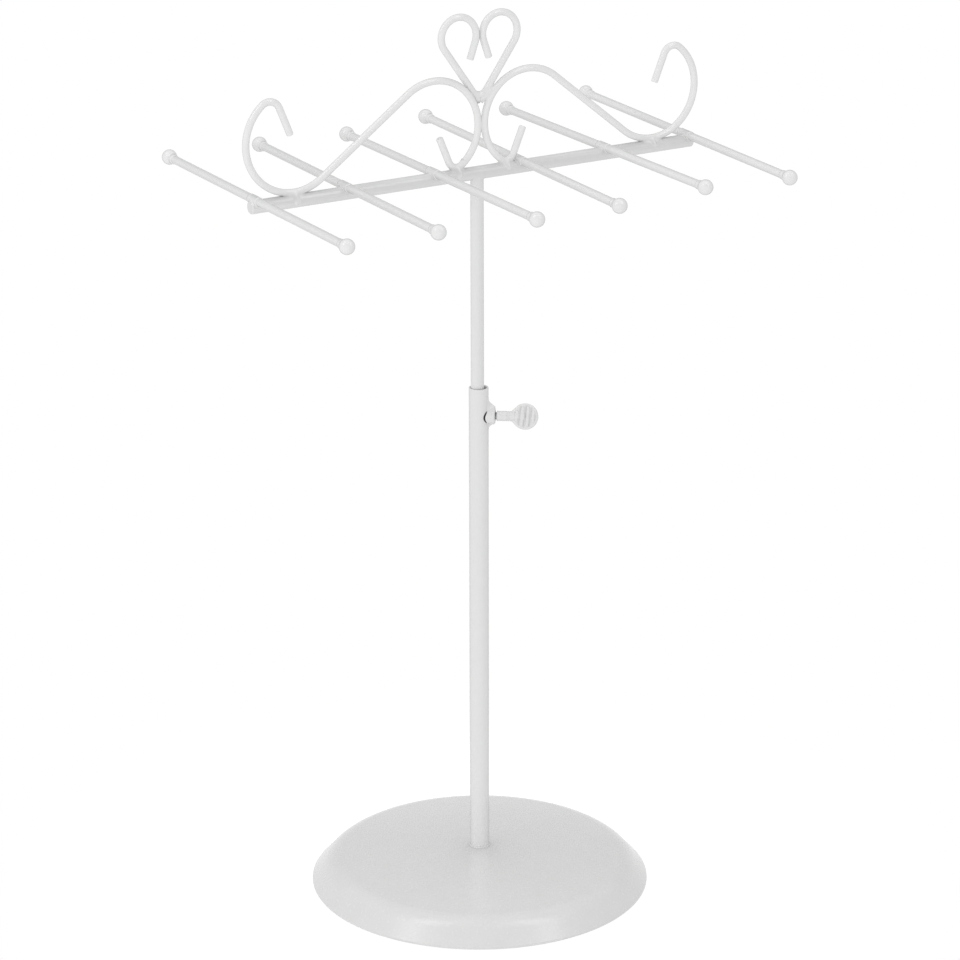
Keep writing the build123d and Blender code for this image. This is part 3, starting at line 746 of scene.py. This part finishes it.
def make_camera():
    """Camera at the photographed angle."""
    back = from_view(VIEW_AZIMUTH, VIEW_ELEVATION)
    level = Vector((cos(VIEW_AZIMUTH), sin(VIEW_AZIMUTH), 0))
    upright = back.cross(level)
    right = level * cos(VIEW_ROLL) + upright * sin(VIEW_ROLL)
    up = upright * cos(VIEW_ROLL) - level * sin(VIEW_ROLL)
    data = bpy.data.cameras.new("photo_camera")
    data.lens = LENS_MM
    data.sensor_width = SENSOR_MM
    camera = bpy.data.objects.new("photo_camera", data)
    turn = Matrix((right, up, back)).transposed().to_4x4()
    place = Z_AXIS * VIEW_HEIGHT + right * VIEW_SIDE_STEP + back * VIEW_DISTANCE
    camera.matrix_world = Matrix.Translation(place) @ turn
    bpy.context.scene.collection.objects.link(camera)
    bpy.context.scene.camera = camera


def make_lamp(name, turn, elevation, distance, width, height, level):
    """Soft lamp aimed at the stand; turn is from the camera's side, level is its brightness."""
    data = bpy.data.lights.new(name, "AREA")
    data.shape = "RECTANGLE"
    data.size = width
    data.size_y = height
    data.energy = level * pi * width * height
    lamp = bpy.data.objects.new(name, data)
    towards = from_view(VIEW_AZIMUTH + radians(turn), radians(elevation))
    lamp.location = Z_AXIS * LAMP_TARGET + towards * distance
    lamp.rotation_euler = towards.to_track_quat("Z", "Y").to_euler()
    lamp.visible_camera = False
    bpy.context.scene.collection.objects.link(lamp)
    return lamp


def add_seen_mask(tree):
    """1 for what the camera sees, straight or by reflection or through glass."""
    path = tree.nodes.new("ShaderNodeLightPath")
    seen = maths(tree, "MAXIMUM", path.outputs["Is Camera Ray"], path.outputs["Is Glossy Ray"])
    return maths(tree, "MAXIMUM", seen, path.outputs["Is Transmission Ray"])


def make_floor():
    """White floor that keeps the stand's shadow and runs out into plain white."""
    mesh = bmesh.new()
    bmesh.ops.create_circle(mesh, cap_ends=True, segments=FLOOR_SIDES, radius=FLOOR_R)
    data = bpy.data.meshes.new("floor")
    mesh.to_mesh(data)
    mesh.free()
    floor = bpy.data.objects.new("floor", data)
    bpy.context.scene.collection.objects.link(floor)
    material = bpy.data.materials.new("floor_white")
    material.use_nodes = True
    tree = material.node_tree
    tree.nodes.clear()
    diffuse = put(tree, "ShaderNodeBsdfDiffuse", Color=grey(FLOOR_PAPER)).outputs["BSDF"]
    glow, lift, white = [
        put(tree, "ShaderNodeEmission", Color=grey(1.0), Strength=strength).outputs["Emission"]
        for strength in (FLOOR_GLOW, FLOOR_LIFT, FLOOR_WHITE)
    ]
    paper = add_shaders(tree, diffuse, glow)
    shaded = add_shaders(tree, paper, lift)
    from_stand = vector_maths(tree, "LENGTH", object_place(tree))
    far = map_range(tree, from_stand, smooth=True, From_Min=FLOOR_SHADE_R, From_Max=FLOOR_WHITE_R)
    seen_floor = mix_shaders(tree, far, shaded, white)
    put(tree, "ShaderNodeOutputMaterial",
        Surface=mix_shaders(tree, add_seen_mask(tree), paper, seen_floor))
    material.cycles.emission_sampling = "NONE"
    data.materials.append(material)


def make_world():
    """White near the horizon to the eye and in reflections, and a plain soft sky for the rest."""
    world = bpy.data.worlds.new("studio")
    bpy.context.scene.world = world
    world.use_nodes = True
    tree = world.node_tree
    tree.nodes.clear()
    towards = tree.nodes.new("ShaderNodeTexCoord").outputs["Generated"]
    height = put(tree, "ShaderNodeSeparateXYZ", Vector=towards).outputs["Z"]
    high = map_range(tree, height, smooth=True, From_Min=0.0, From_Max=SKY_TURN)
    facing = vector_maths(tree, "DOT_PRODUCT", towards, from_view(VIEW_AZIMUTH, 0))
    front = map_range(tree, facing, From_Min=-1.0, From_Max=1.0)
    low_sky = map_range(tree, front, To_Min=SKY_LOW_BACK, To_Max=SKY_LOW_FRONT)
    high_sky = map_range(tree, front, To_Min=SKY_HIGH_BACK, To_Max=SKY_HIGH_FRONT)
    sky, seen = [
        put(tree, "ShaderNodeBackground", Color=grey(1.0), Strength=level).outputs["Background"]
        for level in (
            map_range(tree, high, To_Min=low_sky, To_Max=high_sky),
            map_range(tree, high, To_Min=SEEN_LOW, To_Max=SEEN_HIGH),
        )
    ]
    put(tree, "ShaderNodeOutputWorld", Surface=mix_shaders(tree, add_seen_mask(tree), sky, seen))


make_camera()
make_floor()
make_world()
for lamp_values in FILL_LAMPS:
    make_lamp(*lamp_values).visible_glossy = False
for lamp_values in SOFTBOXES:
    make_lamp(*lamp_values).visible_diffuse = False
bpy.context.scene.view_settings.view_transform = "Standard"
